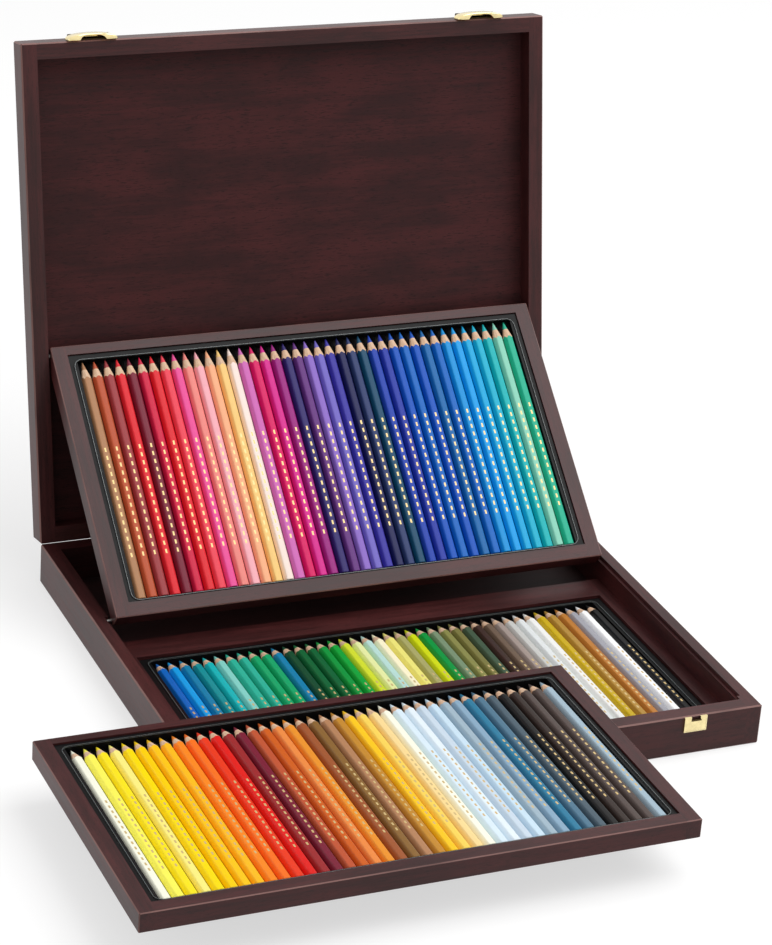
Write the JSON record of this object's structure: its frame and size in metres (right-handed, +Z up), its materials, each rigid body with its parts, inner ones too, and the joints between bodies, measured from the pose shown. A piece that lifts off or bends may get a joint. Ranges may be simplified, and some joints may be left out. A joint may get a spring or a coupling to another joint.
{
  "type": "hinged wooden pencil case with trays",
  "caption": "Hinged wooden pencil case standing open: a tray of coloured pencils leans from the lid, another lies across the base's rim, and a third row lies in the base.",
  "frame": {"origin": "centre of the base's underside", "axes": "+Z up, -Y to the front of the case, +X to its right; the lid stands open at the back"},
  "size_m": [0.4725, 0.5631, 0.3693],
  "materials": {
    "dark_wood": "dark stained hardwood under satin lacquer",
    "brass": "polished brass plate",
    "steel_pin": "turned steel pin",
    "insert_plastic": "black formed sheet, half gloss",
    "pencil": "lacquered wood in many colours, bare wood at the sharpened cone"
  },
  "bodies": {
    "base": {"base_floor": "dark_wood", "base_front_wall": "dark_wood", "base_back_wall": "dark_wood", "base_left_wall": "dark_wood", "base_right_wall": "dark_wood", "nest_front_rail": "dark_wood", "nest_back_rail": "dark_wood", "nest_left_rail": "dark_wood", "nest_right_rail": "dark_wood", "nest_insert": "insert_plastic", "nest_pencils": "pencil", "hinge_left_base_leaf": "brass", "hinge_right_base_leaf": "brass", "hinge_left_pin": "brass", "hinge_right_pin": "brass", "keeper_left": "brass", "keeper_right": "brass"},
    "lid": {"lid_panel": "dark_wood", "lid_front_rail": "dark_wood", "lid_back_rail": "dark_wood", "lid_left_stile": "dark_wood", "lid_right_stile": "dark_wood", "hinge_left_lid_leaf": "brass", "hinge_right_lid_leaf": "brass", "clasp_left_leaf": "brass", "clasp_right_leaf": "brass", "clasp_left_pin": "brass", "clasp_right_pin": "brass"},
    "clasp_left": {"clasp_left_cover": "brass"},
    "clasp_right": {"clasp_right_cover": "brass"},
    "lean_tray": {"lean_tray_front_rail": "dark_wood", "lean_tray_back_rail": "dark_wood", "lean_tray_left_rail": "dark_wood", "lean_tray_right_rail": "dark_wood", "lean_tray_board": "dark_wood", "lean_tray_insert": "insert_plastic", "lean_tray_pencils": "pencil", "lean_tray_left_pin": "steel_pin", "lean_tray_right_pin": "steel_pin", "lean_tray_left_guide": "steel_pin", "lean_tray_right_guide": "steel_pin"},
    "loose_tray": {"loose_tray_front_rail": "dark_wood", "loose_tray_back_rail": "dark_wood", "loose_tray_left_rail": "dark_wood", "loose_tray_right_rail": "dark_wood", "loose_tray_board": "dark_wood", "loose_tray_insert": "insert_plastic", "loose_tray_pencils": "pencil"}
  },
  "joints": [
    {"name": "lid_hinge", "type": "hinge", "parent": "base", "child": "lid", "pos_m": [0, 0.1714, 0.0285], "axis": [-1, 0, 0], "range_deg": [-101.4, 0]},
    {"name": "lean_tray_pivot", "type": "hinge", "parent": "lid", "child": "lean_tray", "pos_m": [0, 0.20087, 0.15517], "axis": [1, 0, 0], "range_deg": [-141.2, 0]},
    {"name": "loose_tray_slide", "type": "slide", "parent": "base", "child": "loose_tray", "axis": [0, -1, 0], "range_m": [0, 0.0952]},
    {"name": "clasp_left_turn", "type": "hinge", "parent": "lid", "child": "clasp_left", "pos_m": [-0.1412, 0.24886, 0.36411], "axis": [-1, 0, 0], "range_deg": [0, 95]},
    {"name": "clasp_right_turn", "type": "hinge", "parent": "lid", "child": "clasp_right", "pos_m": [0.1412, 0.24886, 0.36411], "axis": [-1, 0, 0], "range_deg": [0, 95]}
  ],
  "couplings": [
    {"joint": "lean_tray_pivot", "follows": "lid_hinge", "ratio": 1.3919},
    {"joint": "loose_tray_slide", "follows": "lid_hinge", "m_per_rad": -0.053679}
  ]
}
